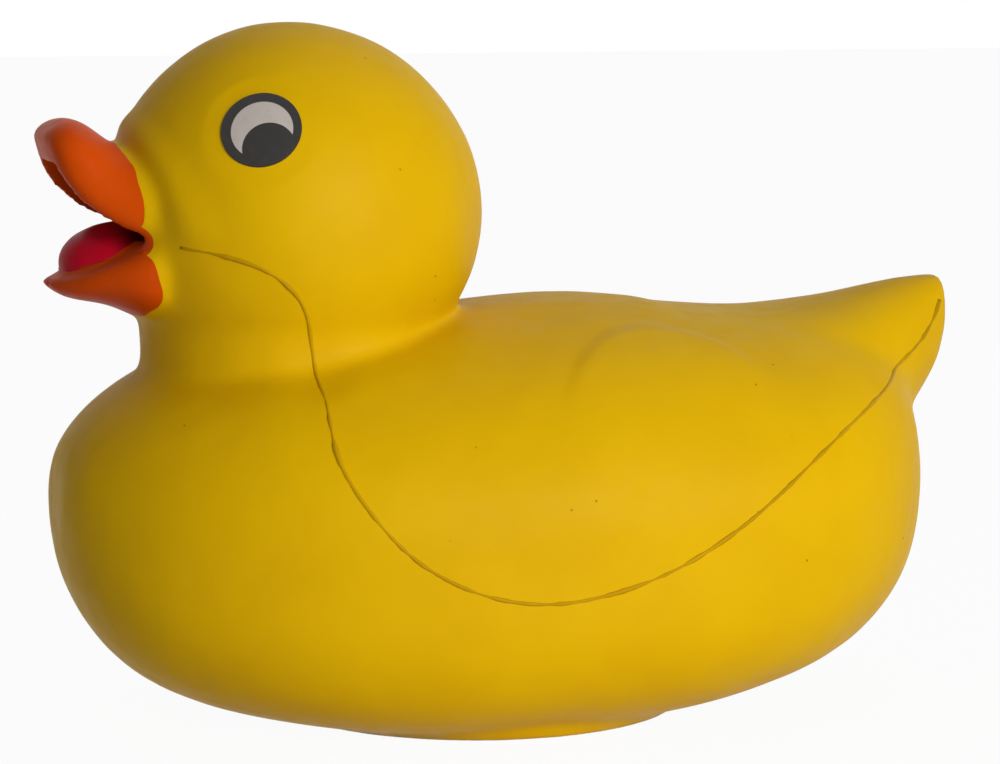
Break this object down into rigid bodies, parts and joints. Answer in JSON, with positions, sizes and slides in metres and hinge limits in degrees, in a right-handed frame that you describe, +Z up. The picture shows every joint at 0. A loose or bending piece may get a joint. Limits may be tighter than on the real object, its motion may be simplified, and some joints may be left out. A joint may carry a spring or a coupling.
{
  "type": "floating chlorine dispenser",
  "caption": "Duck-shaped pool float whose belly holds a removable slotted tablet basket with a bayonet ring and a flow dial.",
  "frame": {"origin": "On the axis of the round dispenser well, in the plane of the foot ring that the duck stands on.", "axes": "+X forward towards the bill, +Y to the duck's left, +Z up along the dispenser's axis."},
  "size_m": [0.3054, 0.1987, 0.225],
  "materials": {
    "yellow_skin": "satin",
    "orange_vinyl": "satin",
    "red_vinyl": "satin",
    "black_print": "gloss",
    "white_print": "gloss",
    "white_plastic": "satin",
    "grey_plastic": "satin",
    "orange_plastic": "satin",
    "black_rubber": "matte",
    "stainless_steel": "satin",
    "ballast_iron": "matte"
  },
  "bodies": {
    "float": {"upper_shell": "yellow_skin", "lower_shell": "yellow_skin", "upper_bill": "orange_vinyl", "lower_bill": "orange_vinyl", "tongue": "red_vinyl", "left_eye_disc": "black_print", "left_eye_glint": "white_print", "right_eye_disc": "black_print", "right_eye_glint": "white_print", "well_cup": "white_plastic", "well_gasket": "black_rubber", "flange_screws": "stainless_steel", "ballast_ring": "ballast_iron"},
    "canister": {"basket": "white_plastic", "basket_seal": "black_rubber", "dial_screw": "stainless_steel", "dial_washer": "stainless_steel", "dial_nut": "stainless_steel", "ring_clip": "grey_plastic"},
    "locking": {"lock_ring": "grey_plastic"},
    "dial": {"flow_dial": "orange_plastic"}
  },
  "joints": [
    {"name": "basket_pull", "type": "slide", "parent": "float", "child": "canister", "axis": [0, 0, -1], "range_m": [0, 0.13]},
    {"name": "lock_twist", "type": "hinge", "parent": "canister", "child": "locking", "pos_m": [0, 0, 0.005], "axis": [0, 0, 1], "range_deg": [0, 40]},
    {"name": "dial_turn", "type": "hinge", "parent": "canister", "child": "dial", "pos_m": [0, 0, 0.008], "axis": [0, 0, 1], "range_deg": [0, 45]}
  ]
}
